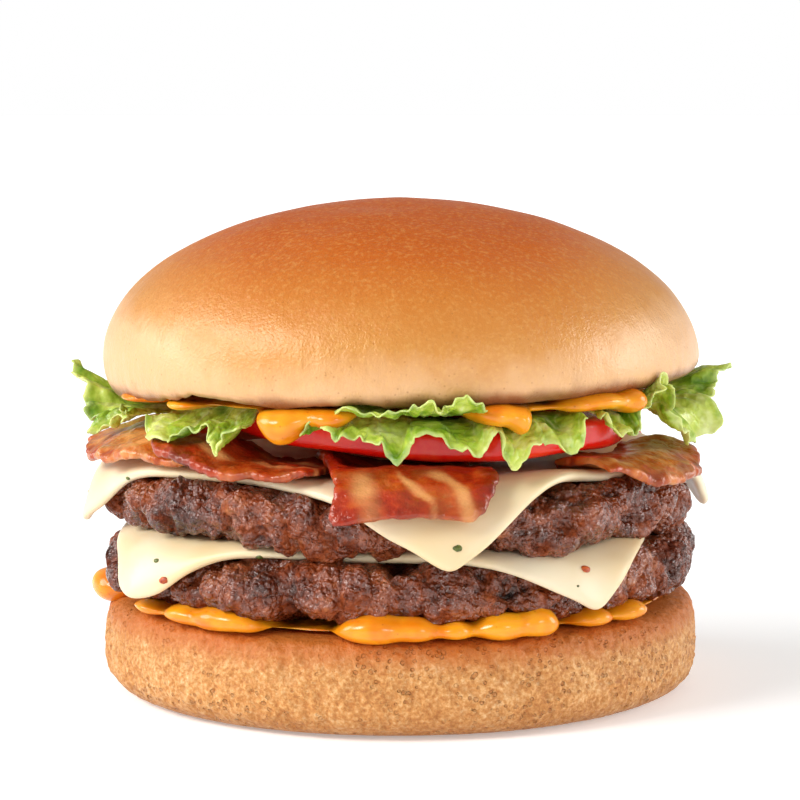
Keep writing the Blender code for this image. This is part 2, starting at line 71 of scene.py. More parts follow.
# The lights, as suns: where each shines from, how wide it looks in degrees, its power and its colour
SUNS = {
    "key": ((-0.70, -0.48, 0.62), 24, 1.9, (1.0, 0.99, 0.97)),
    "fill": ((0.45, -0.70, 0.30), 18, 0.5, (1.0, 1.0, 1.0)),
    "left": ((-0.90, 0.05, 0.45), 35, 1.7, (1.0, 1.0, 1.0)),
    "right": ((0.90, 0.10, 0.28), 35, 1.5, (1.0, 1.0, 1.0)),
}

# Detail: points round a body, and points from the middle of its top over its side to the middle below
CROWN_GRID = (520, (24, 76, 6))
HEEL_GRID = (760, (6, 62, 5))
PATTY_GRID = (900, (5, 54, 4))
TOMATO_GRID = (260, (6, 22, 6))
SAUCE_GRID = (640, (10, 26, 4))

# Detail of a leaf: distance between points along its edge, and rows of points from its root to its edge
LEAF_CELL = 0.36 * MM
LEAF_ROWS = 44

# How often a solid's facets are subdivided: for cheese and bacon, and for a surface that rays hit
SHEET_LEVELS = 3
SURFACE_LEVELS = 2

# Where a flat body's side begins, measured inwards from its widest radius
CROWN_SIDE = 12 * MM
HEEL_SIDE = 8 * MM
PATTY_SIDE = 5.5 * MM
TOMATO_SIDE = 3.2 * MM

# How a solid is smoothed: points this close are joined, triangles are paired up to the two angles, and
# an edge that turns more than the crease angle can stay sharp
WELD = 0.001 * MM
PAIR_TURN = math.radians(50)
PAIR_SHAPE = math.radians(60)
CREASE_ANGLE = math.radians(38)

# How sharp a body's creases stay, from 0 to 1
CROWN_CREASE = 0.9
HEEL_CREASE = 0.3
TOMATO_CREASE = 0.5
BACON_CREASE = 0.3

# Room for relief: the ray that measures it starts this far inside the surface, the beef stays this far
# from the cheese, and no point moves further out than the last value
RAY_START = 0.5 * MM
CHEESE_ROOM = 0.35 * MM
MOST_RELIEF = 6 * MM

# The crown's rim: its height at the middle, how much it rises to the right, and how far above it the crown
# is fully smoothed
RIM_HEIGHT = 53.7 * MM
RIM_SLOPE = 0.036
RIM_REACH = 5.2 * MM

# The heel's dents: their size, and how deep they are in millimetres
WIDE_DENT = (3.0 * MM, 0.45)
SMALL_DENT = (1.5 * MM, 0.30)

# The beef's masses, clumps and grains: their size, how high they stand in millimetres, and their share in
# the height that the beef's material turns into painted shade in its creases
BEEF_LUMPS = ((9 * MM, 2.6, 0.35), (4.2 * MM, 1.9, 0.35), (1.7 * MM, 0.7, 0.3))
BEEF_SINK = 2.5

# Lettuce: where a leaf's root and shoulder lie and how far below the crown's rim, how much narrower it is
# at its root, how far apart its veins are, and the outer edge of each leaf as azimuth in degrees, radius
# and height in millimetres
LEAF_THICKNESS = 0.5 * MM
LEAF_ROOT_RADIUS = 37 * MM
LEAF_ROOT_DROP = 3.4 * MM
LEAF_ROOT_WIDTH = 0.86
LEAF_SHOULDER_RADIUS = 47 * MM
LEAF_SHOULDER_DROP = 1.4 * MM
VEIN_SPACING = 5.5 * MM
LEAF_EDGES = {
    "lettuce_left": (
        (148, 51, 48), (156, 55, 53), (164, 54, 48), (171, 57, 55.5), (176, 58.5, 56), (181, 56, 50),
        (187, 56, 46.5), (192, 53, 46), (197, 50.5, 49), (202, 50, 50.5),
    ),
    "lettuce_front_left": (
        (-147.5, 50.5, 51.2), (-143.5, 52, 48.6), (-139.5, 52.5, 46.9), (-135.5, 52.5, 47.2),
        (-131.5, 52, 48.4), (-128.8, 51.5, 49.2), (-126.6, 52.5, 47.4), (-124.6, 53, 46.6),
        (-122.5, 52.5, 48), (-120, 51.5, 51),
    ),
    "lettuce_front": (
        (-107.6, 52.2, 49.6), (-105, 51.5, 51.4), (-103, 51.8, 51.2), (-101.2, 53, 48.6),
        (-99, 52, 49.8), (-96, 52, 49.7), (-94, 52.5, 47.2), (-90.6, 53, 45.4), (-88.4, 52.3, 48.6),
        (-86.6, 52, 50.6), (-82.4, 52, 50), (-80.2, 52.5, 47.3), (-77.6, 53, 46.7), (-74.6, 52.5, 47.4),
        (-72.2, 51.5, 50.8),
    ),
    "lettuce_frill": (
        (-102, 52, 52.8), (-98.5, 53.5, 53.7), (-95, 52.8, 53.1), (-91.8, 53.3, 53.4), (-88.8, 54, 54.9),
        (-86.4, 55, 55.6), (-84, 54.5, 55.3), (-82, 53.3, 54.3), (-79.6, 54.5, 55.2), (-77, 54.5, 55.1),
        (-74.6, 53, 53.6),
    ),
    "lettuce_front_right": (
        (-71.6, 51.3, 50.2), (-70.9, 52.4, 46), (-69.4, 53, 44.6), (-66.8, 53, 45.8), (-64, 52.4, 47.3),
        (-62, 51.8, 48.2), (-60.2, 52.5, 47), (-57.8, 53, 46.8), (-55.6, 52.3, 48.6), (-52.8, 51.3, 51.6),
    ),
    "lettuce_right": (
        (-50, 51.2, 51.6), (-47.6, 52.2, 49.4), (-45, 53, 47.3), (-41, 52.6, 48.6), (-38.6, 53, 52.5),
        (-36, 54.2, 56), (-33, 54.6, 57.8), (-30, 54, 52), (-27, 54, 46.4), (-22, 53, 46.2),
        (-17, 53, 44.8), (-12, 55, 45.8), (-7, 56, 50.5), (-2.5, 55.5, 51.5), (1, 57.5, 54.6),
        (3.5, 59.5, 57.5), (8, 57, 53.5), (13, 54, 49),
    ),
    "lettuce_back_right": (
        (21, 52, 49), (27, 53.5, 46.5), (33, 54, 52.5), (39, 56, 55), (45, 53.5, 50), (51, 53, 46),
        (57, 54, 50), (63, 56, 54.5), (70, 53.5, 49), (77, 52, 46.5),
    ),
    "lettuce_back_left": (
        (85, 52, 48), (91, 54, 51.5), (98, 56, 55), (104, 53.5, 50), (110, 52.5, 46), (116, 54, 50),
        (123, 56, 54.5), (130, 53.5, 49), (137, 52, 46.5), (142, 52, 49),
    ),
}

# How deep the lobes at a leaf's edge are cut, in millimetres, for the curly leaves and for the others
LOBE_DEPTH = {"lettuce_left": 4.5, "lettuce_right": 4.0, "lettuce_back_left": 3.0, "lettuce_back_right": 3.0}
PLAIN_LOBE_DEPTH = 1.8

# Bacon: width of each strip in millimetres, how amber it is, and stations along its middle in millimetres
BACON_STRIPS = {
    "bacon_left": (14, 0.85, ((-49, 4), (-44.5, -14), (-32, -30.5))),
    "bacon_front_left": (17, 0.2, ((-35.5, -24.5), (-24.5, -36.5), (-12, -41))),
    "bacon_back": (22, 0.5, ((42, 22), (0, 39), (-40, 24))),
    "bacon_right": (14, 0.6, ((30, -36), (39.5, -25), (46, -10))),
    "bacon_front": (25, 0.05, ((1, -56), (1, -44), (0, -27))),
}

# Points along a strip's middle, and its streaks of fat: the middle and breadth of each, as shares of half
# the strip's width
STRIP_STEPS = 120
FAT_STREAKS = ((-0.50, 0.14), (-0.08, 0.07), (0.42, 0.20))

# Sauce at the rims: for each blob its azimuth and half width in degrees, then how far it reaches, how low
# its underside hangs and how high its top swells, in millimetres
SAUCE_BLOBS = {
    "sauce_lower": (
        (-178, 8, 54.6, 14.6, 20.6), (-147, 7, 52.7, 16.8, 19.6), (-136, 6, 52.9, 16.6, 20.0),
        (-125, 9, 53.3, 16.2, 20.8), (-95, 8, 53.3, 16.0, 21.0), (-87.5, 6, 53.0, 16.3, 20.4),
        (-79.9, 4.2, 53.0, 16.4, 19.8), (-70, 6.5, 53.3, 16.1, 21.0), (-64, 6.2, 53.4, 16.3, 21.6),
        (-50, 5, 52.6, 16.8, 20.0), (-40, 5, 53.0, 16.6, 20.6), (20, 12, 53.2, 16.6, 20.6),
        (64, 14, 53.2, 16.6, 20.8), (112, 11, 53.3, 16.4, 20.6), (150, 12, 53.1, 16.6, 20.6),
    ),
    "sauce_upper": (
        (-155, 6, 51.6, 51.8, 53.2), (-137, 5, 51.0, 51.8, 53.0), (-112.2, 6.2, 54.1, 47.8, 53.6),
        (-103, 4.5, 52.6, 50.4, 52.8), (-72, 5, 53.4, 50.6, 54.6), (-67.4, 2.4, 53.8, 49.0, 53.8),
        (-49, 8, 52.6, 52.2, 55.4), (-40, 4, 52.8, 51.4, 55.6), (17, 7, 53.0, 51.0, 54.6),
        (81, 7, 53.0, 50.4, 54.2), (113, 5, 52.8, 51.2, 53.8), (145, 6, 52.8, 51.0, 53.8),
    ),
}

# Between the blobs the sauce has this reach, underside and top, and its rim is this wide
SAUCE_REST = {"sauce_lower": (47.0, 17.1, 17.6), "sauce_upper": (47.0, 52.6, 53.6)}
BEAD_WIDTH = 4.2 * MM

# Herb and pepper flecks in the cheese: where the ray that places one starts, how far it reaches, and for
# each fleck its slice, azimuth in degrees, height in millimetres, colour and size in millimetres
FLECK_REACH = 60 * MM
FLECK_SEARCH = 18 * MM
FLECKS = (
    ("cheese_lower", -139.5, 27.0, "green", 1.1), ("cheese_lower", -136.2, 24.2, "red", 1.6),
    ("cheese_lower", -118.4, 28.9, "green", 1.1), ("cheese_upper", -80.6, 32.4, "green", 1.5),
    ("cheese_lower", -54.4, 26.9, "red", 1.7), ("cheese_lower", -57.5, 24.6, "green", 0.6),
    ("cheese_upper", -150, 37.5, "green", 0.9), ("cheese_upper", 12, 34.5, "red", 1.2),
    ("cheese_lower", 36, 25.0, "green", 1.1), ("cheese_lower", 41, 27.5, "red", 1.0),
    ("cheese_upper", 98, 34.0, "green", 1.2), ("cheese_upper", 103, 37.0, "red", 1.0),
    ("cheese_lower", 126, 26.5, "green", 1.0), ("cheese_upper", -174, 34.5, "red", 1.1),
)


def ramped(low, high, value):
    """From 0 at low to 1 at high, with soft ends."""
    share = np.clip((value - low) / (high - low), 0, 1)
    return share * share * (3 - 2 * share)


def each(function, points):
    """Calls a function of a place for every point of an array, and returns an array of the same layout."""
    values = np.array([function(Vector(point)) for point in points.reshape(-1, 3)])
    return values.reshape(points.shape[:-1])


def rough(points, size, seed, octaves=1):
    """Noise from about -1 to 1 that changes over the given size."""
    shift = Vector((seed, 1.7 * seed, -2.3 * seed))
    return each(lambda place: noise.fractal(place / size + shift, 1.0, 2.0, octaves), points)


def lumps(points, size, seed):
    """Domes of about the given size with creases between them, from 0 in a crease to 1 on top."""
    shift = Vector((seed, -1.3 * seed, 2.1 * seed))
    away = each(lambda place: noise.voronoi(place / size + shift)[0][0], points)
    return np.clip(1 - away * away / 0.75, 0, 1)


def new_piece(name, mesh):
    piece = bpy.data.objects.new(name, mesh)
    bpy.context.scene.collection.objects.link(piece)
    return piece


def points_of(piece):
    points = np.empty(len(piece.data.vertices) * 3)
    piece.data.vertices.foreach_get("co", points)
    return points.reshape(-1, 3)


def set_points(piece, points):
    piece.data.vertices.foreach_set("co", np.ascontiguousarray(points).ravel())
    piece.data.update()


def normals_of(piece):
    normals = np.empty(len(piece.data.vertices) * 3)
    piece.data.vertex_normals.foreach_get("vector", normals)
    return normals.reshape(-1, 3)


def paint(piece, name, values):
    """Keeps a number for each of the piece's points, which its material reads."""
    layer = piece.data.attributes.new(name, "FLOAT", "POINT")
    layer.data.foreach_set("value", np.asarray(values, np.float32).ravel())


def refined(name, node, levels, crease=0.0):
    """A smooth copy of a solid, its facets joined into quads and subdivided. Crease keeps its sharp edges."""
    piece = new_piece(name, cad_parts[node].data.copy())
    piece.data.materials.clear()
    shape = bmesh.new()
    shape.from_mesh(piece.data)
    bmesh.ops.remove_doubles(shape, verts=shape.verts, dist=WELD)
    bmesh.ops.join_triangles(
        shape, faces=shape.faces, angle_face_threshold=PAIR_TURN, angle_shape_threshold=PAIR_SHAPE
    )
    layer = shape.edges.layers.float.new("crease_edge")
    for edge in shape.edges:
        if edge.is_manifold and edge.calc_face_angle() > CREASE_ANGLE:
            edge[layer] = crease
    shape.to_mesh(piece.data)
    shape.free()
    soften = piece.modifiers.new("Soften", "SUBSURF")
    soften.levels = levels
    soften.render_levels = levels
    mesh = bpy.data.meshes.new_from_object(piece.evaluated_get(bpy.context.evaluated_depsgraph_get()))
    piece.modifiers.clear()
    piece.data = mesh
    mesh.shade_smooth()
    return piece


def surface_of(node, crease=0.0):
    """The smoothed surface of a solid, for rays to hit."""
    copy = refined("surface", node, SURFACE_LEVELS, crease)
    corners = [vertex.co for vertex in copy.data.vertices]
    tree = BVHTree.FromPolygons(corners, [face.vertices for face in copy.data.polygons])
    bpy.data.objects.remove(copy)
    return tree


def hit(tree, start, way):
    """Where a ray meets a surface, or its start if it misses."""
    place = tree.ray_cast(Vector(start), Vector(way))[0]
    return np.array(place if place else start)


def round_grid(node, side, detail, crease=0.0):
    """Points over a flat round body: rows from the middle of its top, over its side, to the middle below."""
    columns, (top, edge, bottom) = detail
    tree = surface_of(node, crease)
    low, high = (np.array(corner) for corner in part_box(node))
    centre = (low + high) / 2
    reach = (high[0] - low[0]) / 2 - side
    grid = np.empty((top + edge + bottom, columns, 3))
    angles = np.linspace(math.pi / 2, -math.pi / 2, edge)
    for column in range(columns):
        azimuth = TAU * column / columns
        out = np.array((math.cos(azimuth), math.sin(azimuth), 0))
        for row in range(top):
            x, y, _ = centre + out * reach * row / top
            grid[row, column] = hit(tree, (x, y, FAR), (0, 0, -1))
        x, y, _ = centre + out * reach
        above = hit(tree, (x, y, FAR), (0, 0, -1))
        below = hit(tree, (x, y, -FAR), (0, 0, 1))
        middle = (above + below) / 2
        for row, angle in enumerate(angles, top):
            grid[row, column] = hit(tree, middle, out * math.cos(angle) + np.array((0, 0, math.sin(angle))))
        for row in range(bottom):
            x, y, _ = centre + out * reach * (1 - (row + 1) / bottom)
            grid[top + edge + row, column] = hit(tree, (x, y, -FAR), (0, 0, 1))
    return grid


def room_above(grid, normals, nodes):
    """How far each point can move outwards before it meets one of the other solids."""
    trees = [surface_of(node) for node in nodes]
    room = np.full(grid.shape[:2], MOST_RELIEF)
    for index in np.ndindex(room.shape):
        start, way = Vector(grid[index] - RAY_START * normals[index]), Vector(normals[index])
        for tree in trees:
            away = tree.ray_cast(start, way, room[index] + RAY_START)[3]
            if away is not None:
                room[index] = away - RAY_START
    return room


def smoothed(grid, times):
    """The grid with every point drawn towards its neighbours, round the body and down its side."""
    for _ in range(times):
        grid = (np.roll(grid, 1, 1) + 2 * grid + np.roll(grid, -1, 1)) / 4
        inner = (grid[:-2] + 2 * grid[1:-1] + grid[2:]) / 4
        grid = np.concatenate([grid[:1], inner, grid[-1:]])
    return grid


def grid_normals(grid):
    """Which way each point of a round body faces."""
    around = np.roll(grid, -1, 1) - np.roll(grid, 1, 1)
    down = np.gradient(grid, axis=0)
    normals = np.cross(down, around)
    return normals / np.maximum(np.linalg.norm(normals, axis=2, keepdims=True), 1e-12)


def round_piece(name, grid, **painted):
    """A closed body from the rows of a round grid. The first and last rows close to a point."""
    rows, columns, _ = grid.shape
    caps = grid[0].mean(axis=0)[None], grid[-1].mean(axis=0)[None]
    points = np.concatenate([caps[0], grid[1:-1].reshape(-1, 3), caps[1]])
    start = 1 + np.arange((rows - 2) * columns).reshape(rows - 2, columns)
    after = np.roll(start, -1, 1)
    last = len(points) - 1
    faces = [(0, a, b) for a, b in zip(start[0], after[0])]
    faces += [(last, b, a) for a, b in zip(start[-1], after[-1])]
    quads = np.stack([start[:-1], start[1:], after[1:], after[:-1]], axis=-1).reshape(-1, 4)
    mesh = bpy.data.meshes.new(name)
    mesh.from_pydata(points.tolist(), [], [tuple(map(int, face)) for face in faces] + quads.tolist())
    mesh.shade_smooth()
    piece = new_piece(name, mesh)
    for layer, values in painted.items():
        ends = values[0].mean(), values[-1].mean()
        paint(piece, layer, np.concatenate([[ends[0]], values[1:-1].ravel(), [ends[1]]]))
    return piece


def thick_sheet(name, grid, thickness, **painted):
    """A closed sheet from rows of points, with a rounded rim. Its thickness is a number for each point."""
    across, along = np.gradient(grid, axis=0), np.gradient(grid, axis=1)
    normals = np.cross(along, across)
    normals /= np.maximum(np.linalg.norm(normals, axis=2, keepdims=True), 1e-12)
    rows, columns, _ = grid.shape
    half = 0.5 * np.broadcast_to(thickness, (rows, columns))[..., None]
    number = np.arange(rows * columns).reshape(rows, columns)
    rim = np.concatenate([number[0, :-1], number[:-1, -1], number[-1, :0:-1], number[:0:-1, 0]])
    ways = np.zeros_like(grid)
    ways[0] -= across[0]
    ways[-1] += across[-1]
    ways[:, 0] -= along[:, 0]
    ways[:, -1] += along[:, -1]
    outward = ways.reshape(-1, 3)[rim]
    outward /= np.maximum(np.linalg.norm(outward, axis=1, keepdims=True), 1e-12)
    edge = grid.reshape(-1, 3)[rim] + outward * half.reshape(-1, 1)[rim]
    upper, lower = grid + normals * half, grid - normals * half
    points = np.concatenate([upper.reshape(-1, 3), lower.reshape(-1, 3), edge])
    quads = np.stack([number[:-1, :-1], number[:-1, 1:], number[1:, 1:], number[1:, :-1]], axis=-1)
    quads = quads.reshape(-1, 4)
    under = quads[:, ::-1] + rows * columns
    ring = np.arange(len(rim)) + 2 * rows * columns
    next_rim, next_ring = np.roll(rim, -1), np.roll(ring, -1)
    upper_rim = np.stack([rim, ring, next_ring, next_rim], axis=-1)
    lower_rim = np.stack([ring, rim + rows * columns, next_rim + rows * columns, next_ring], axis=-1)
    mesh = bpy.data.meshes.new(name)
    mesh.from_pydata(points.tolist(), [], np.concatenate([quads, under, upper_rim, lower_rim]).tolist())
    mesh.shade_smooth()
    piece = new_piece(name, mesh)
    for layer, values in painted.items():
        flat = np.broadcast_to(values, (rows, columns)).ravel()
        paint(piece, layer, np.concatenate([flat, flat, flat[rim]]))
    return piece


def through(stations, shares):
    """The points at shares from 0 to 1 along a smooth curve through the stations."""
    stations = np.array(stations, float)
    at = np.clip(shares, 0, 1 - 1e-9) * (len(stations) - 1)
    index = at.astype(int)
    t = (at - index)[:, None]
    before, start, end, after = (stations[np.clip(index + k, 0, len(stations) - 1)] for k in (-1, 0, 1, 2))
    bend = 2 * before - 5 * start + 4 * end - after
    turn = 3 * (start - end) + after - before
    return start + 0.5 * t * (end - before + t * (bend + t * turn))


def blurred(field, times):
    """A field over a grid, with every value drawn towards its neighbours."""
    for _ in range(times):
        for axis in (0, 1):
            field = np.moveaxis(field, axis, 0)
            padded = np.concatenate([field[:1], field, field[-1:]])
            field = np.moveaxis((padded[:-2] + 2 * padded[1:-1] + padded[2:]) / 4, 0, axis)
    return field


class Look:
    """A material that is built up from nodes. A size is the size of the pattern's parts in millimetres."""

    def __init__(self, name):
        self.material = bpy.data.materials.new(name)
        self.material.use_nodes = True
        self.nodes = self.material.node_tree.nodes
        self.shader = self.nodes["Principled BSDF"]
        self.place = self.node("ShaderNodeTexCoord").outputs["Object"]

    def node(self, kind, inputs=(), **settings):
        made = self.nodes.new(kind)
        for setting, value in settings.items():
            setattr(made, setting, value)
        for socket, value in dict(inputs).items():
            self.put(made.inputs[socket], value)
        return made

    def put(self, socket, value):
        """Links or sets a socket."""
        if isinstance(value, bpy.types.NodeSocket):
            self.material.node_tree.links.new(value, socket)
        else:
            socket.default_value = value

    def noise(self, size, detail=2, stretch=(1, 1, 1), seed=0):
        inputs = {"Vector": self.place, "Location": (seed, seed, 0), "Scale": stretch}
        at = self.node("ShaderNodeMapping", inputs)
        inputs = {"Vector": at.outputs[0], "Scale": 1 / (size * MM), "Detail": detail, "Roughness": 0.6}
        return self.node("ShaderNodeTexNoise", inputs).outputs["Fac"]

    def cells(self, size):
        """How far a place lies from the nearest of many scattered points."""
        inputs = {"Vector": self.place, "Scale": 1 / (size * MM)}
        return self.node("ShaderNodeTexVoronoi", inputs).outputs["Distance"]

    def painted(self, name):
        return self.node("ShaderNodeAttribute", attribute_name=name).outputs["Fac"]

    def height(self):
        return self.node("ShaderNodeSeparateXYZ", {"Vector": self.place}).outputs["Z"]

    def aside(self):
        """How far a place lies to the left or right of the middle."""
        x = self.node("ShaderNodeSeparateXYZ", {"Vector": self.place}).outputs["X"]
        return self.node("ShaderNodeMath", {0: x}, operation="ABSOLUTE").outputs[0]

    def sum(self, *parts):
        """Adds sockets, each with its own factor."""
        total = 0.0
        for socket, factor in parts:
            inputs = {0: socket, 1: factor, 2: total}
            total = self.node("ShaderNodeMath", inputs, operation="MULTIPLY_ADD").outputs[0]
        return total

    def between(self, value, low, high, start=0.0, end=1.0):
        """From start at low to end at high."""
        inputs = {"Value": value, "From Min": low, "From Max": high, "To Min": start, "To Max": end}
        return self.node("ShaderNodeMapRange", inputs, interpolation_type="SMOOTHSTEP").outputs[0]

    def ramp(self, value, *stops):
        """Colours from (place, colour) stops."""
        ramp = self.node("ShaderNodeValToRGB", {"Fac": value})
        elements = ramp.color_ramp.elements
        for index, (place, colour) in enumerate(stops):
            element = elements[index] if index < 2 else elements.new(place)
            element.position = place
            element.color = linear(colour)
        return ramp.outputs["Color"]

    def mix(self, share, first, second):
        """From the first colour at a share of 0 to the second at 1."""
        mixed = self.node("ShaderNodeMix", data_type="RGBA")
        for socket, value in zip((0, 6, 7), (share, first, second)):
            self.put(mixed.inputs[socket], linear(value) if isinstance(value, str) else value)
        return mixed.outputs[2]

    def bump(self, *heights):
        """Adds fine relief, from (height socket, depth in millimetres) pairs."""
        normal = None
        for height, depth in heights:
            inputs = {"Height": height, "Strength": 1.0, "Distance": depth * MM}
            if normal:
                inputs["Normal"] = normal
            normal = self.node("ShaderNodeBump", inputs).outputs["Normal"]
        return normal

    def finish(self, **inputs):
        """Sets or links the shader's inputs, and returns the material."""
        for name, value in inputs.items():
            socket = self.shader.inputs[name.replace("_", " ")]
            self.put(socket, linear(value) if isinstance(value, str) else value)
        return self.material


def linear(colour):
    """The red, green, blue and alpha that Blender uses for a colour written as six hexadecimal digits."""
    shares = [int(colour[i:i + 2], 16) / 255 for i in (0, 2, 4)]
    return tuple(s / 12.92 if s < 0.04045 else ((s + 0.055) / 1.055) ** 2.4 for s in shares) + (1.0,)


def crust_look():
    look = Look("crust")
    height = look.between(look.height(), 52 * MM, 88 * MM)
    # Painted sheen: the crust turns paler towards its left and right sides, where the side lights'
    # reflections fall
    pale = look.between(look.aside(), 20 * MM, 54 * MM, 0, -0.30)
    share = look.sum((height, 0.84), (look.noise(26, 2), 0.22), (look.noise(4, 2, seed=2), 0.12), (pale, 1.0))
    tone = look.ramp(
        share, (0.18, "DEAC7A"), (0.34, "C8863C"), (0.60, "C27224"), (0.84, "B85A10"), (1.0, "AE4E0A")
    )
    speckle = look.between(look.noise(0.8, 3, seed=7), 0.46, 0.72)
    colour = look.mix(look.sum((speckle, 0.22)), tone, "E6B468")
    pores = look.between(look.cells(1.3), 0.20, 0.06, 0, 0.35)
    colour = look.mix(pores, colour, "9C5C20")
    colour = look.mix(look.sum((look.painted("toast"), 0.85)), colour, "6E3412")
    wrinkles = look.noise(1.8, 3, (1, 1, 0.4), 5)
    relief = look.bump((look.noise(0.5, 2), 0.11), (wrinkles, 0.18), (look.noise(7, 2, seed=6), 0.20))
    shine = look.between(look.noise(9, 2, seed=8), 0.3, 0.7, 0.32, 0.42)
    gloss = look.between(height, 0.45, 0.95, 0.75, 0.08)
    return look.finish(
        Base_Color=colour, Roughness=shine, Normal=relief, Specular_IOR_Level=gloss, Specular_Tint="FFF0DC"
    )


def crumb_look():
    look = Look("crumb")
    mottle = look.sum((look.noise(0.7, 3), 0.75), (look.noise(9, 2, seed=4), 0.25))
    tone = look.ramp(mottle, (0.36, "B07038"), (0.47, "C88A4A"), (0.58, "DAA468"), (0.70, "ECC492"))
    # Painted shade: the dents in the heel's side are darkened
    colour = look.mix(look.sum((look.painted("pit"), 0.35)), tone, "A4642E")
    often = look.between(look.noise(11, 2, seed=5), 0.42, 0.58)
    # Painted shade: the pores, which come in patches, are darkened where the bump sinks them in
    pore = look.between(look.sum((look.cells(1.3), 1.0), (look.noise(0.9, 2, seed=6), 0.3)), 0.50, 0.34)
    pore = look.mix(often, "000000", pore)
    colour = look.mix(look.sum((pore, 0.38)), colour, "98582A")
    toast = look.sum((look.between(look.height(), 8.0 * MM, 16.5 * MM), 0.9), (look.noise(3, 2, seed=9), 0.5))
    colour = look.mix(look.between(toast, 0.4, 1.15, 0, 0.85), colour, "B8601C")
    burnt = look.between(look.height(), 6 * MM, 0.2 * MM, 0, 0.5)
    colour = look.mix(burnt, colour, "8A5526")
    sunk = look.between(pore, 0, 1, 1, 0)
    relief = look.bump((look.noise(0.35, 3), 0.18), (look.noise(1.1, 2, seed=2), 0.30), (sunk, 0.30))
    return look.finish(Base_Color=colour, Roughness=0.45, Normal=relief, Specular_IOR_Level=0.30)


def beef_look():
    look = Look("beef")
    patches = look.sum((look.noise(9, 3, seed=6), 0.65), (look.noise(1.2, 2, seed=1), 0.35))
    tone = look.ramp(patches, (0.36, "40160A"), (0.47, "682A12"), (0.57, "8C4220"), (0.70, "AE6A42"))
    # Painted shade: places that lie low among the lumps are darkened towards near black, as shade in the
    # creases
    painted_crease_shade = look.between(look.painted("relief"), 0.10, 0.60)
    colour = look.mix(painted_crease_shade, "120502", tone)
    shine = look.between(look.noise(3, 2, seed=9), 0.40, 0.60, 0.20, 0.40)
    wet = look.between(look.noise(4, 2, seed=12), 0.36, 0.52)
    grain = look.between(look.cells(0.9), 0, 1, 1, 0)
    relief = look.bump((look.noise(0.5, 2), 0.22), (grain, 0.45), (look.noise(1.6, 3, seed=3), 0.70))
    return look.finish(
        Base_Color=colour, Roughness=shine, Normal=relief, Specular_IOR_Level=0.25, Specular_Tint="FFDCC4",
        Coat_Weight=wet, Coat_Roughness=0.12, Coat_IOR=1.6, Coat_Normal=relief
    )


def cheese_look():
    look = Look("cheese")
    tone = look.ramp(look.noise(22, 2), (0.30, "EEE0C4"), (0.70, "E4CA9A"))
    relief = look.bump((look.noise(5, 2), 0.10), (look.noise(0.9, 2, seed=2), 0.012))
    return look.finish(
        Base_Color=tone, Roughness=0.36, Normal=relief, Subsurface_Weight=0.25, Subsurface_Scale=0.0015,
        Subsurface_Radius=(1.0, 0.75, 0.45)
    )


def fleck_look(name, dark, light):
    look = Look(name)
    tone = look.ramp(look.noise(0.6, 2), (0.35, dark), (0.65, light))
    return look.finish(Base_Color=tone, Roughness=0.45, Normal=look.bump((look.noise(0.3, 2), 0.08)))


def bacon_look():
    look = Look("bacon")
    tone = look.ramp(
        look.sum((look.noise(5, 2, seed=2), 0.75), (look.noise(1, 2, seed=6), 0.25)),
        (0.34, "721404"), (0.46, "921E06"), (0.56, "AA2E0C"), (0.68, "BE4E1A"),
    )
    amber = look.ramp(look.noise(4, 3, seed=14), (0.36, "B04A16"), (0.50, "D07428"), (0.64, "E8A25C"))
    colour = look.mix(look.painted("amber"), tone, amber)
    fat = look.between(look.painted("fat"), 0.20, 0.95, 0, 0.85)
    colour = look.mix(fat, colour, "E0A060")
    colour = look.mix(look.between(look.painted("crisp"), 0.3, 1.0, 0, 0.70), colour, "6A240A")
    relief = look.bump((look.noise(0.5, 2), 0.10), (look.noise(1.8, 2, seed=5), 0.30))
    return look.finish(
        Base_Color=colour, Roughness=0.30, Normal=relief, Specular_IOR_Level=0.45, Specular_Tint="FFE4CC",
        Subsurface_Weight=0.10, Subsurface_Scale=0.001, Coat_Weight=0.5, Coat_Roughness=0.12,
        Coat_Normal=relief
    )


def tomato_look():
    look = Look("tomato")
    blush = look.sum((look.noise(14, 2, seed=1), 0.8), (look.noise(1.2, 2, seed=4), 0.2))
    tone = look.ramp(blush, (0.36, "DC0C06"), (0.50, "EE160A"), (0.66, "F63C18"))
    colour = look.mix(look.painted("flesh"), tone, "E0583A")
    relief = look.bump((look.noise(2.5, 2), 0.06), (look.noise(0.5, 2, seed=3), 0.02))
    return look.finish(
        Base_Color=colour, Roughness=0.20, Normal=relief, Subsurface_Weight=0.10, Subsurface_Scale=0.002
    )


def lettuce_look():
    look = Look("lettuce")
    tone = look.ramp(
        look.sum((look.noise(6, 2, seed=8), 0.8), (look.noise(1.2, 2, seed=5), 0.2)),
        (0.34, "5E8A12"), (0.46, "9AB832"), (0.57, "C4D45A"), (0.70, "E4ECA0"),
    )
    colour = look.mix(look.sum((look.painted("vein"), 0.60)), tone, "DCE6A4")
    colour = look.mix(look.sum((look.painted("pale"), 0.40)), colour, "DEE8A4")
    relief = look.bump((look.noise(0.7, 2), 0.10), (look.cells(1.7), 0.24), (look.noise(3, 2, seed=3), 0.5))
    return look.finish(
        Base_Color=colour, Roughness=0.33, Normal=relief, Subsurface_Weight=0.25, Subsurface_Scale=0.0012,
        Subsurface_Radius=(0.8, 1.0, 0.2)
    )


def sauce_look():
    look = Look("sauce")
    tone = look.ramp(look.noise(6, 2, seed=3), (0.34, "DE780A"), (0.64, "F2A018"))
    dots = look.between(look.cells(1.6), 0.16, 0.06, 0, 0.4)
    colour = look.mix(dots, tone, "A8480A")
    relief = look.bump((look.noise(2.5, 2), 0.05))
    return look.finish(
        Base_Color=colour, Roughness=0.18, Normal=relief, Subsurface_Weight=0.15, Subsurface_Scale=0.0015
    )


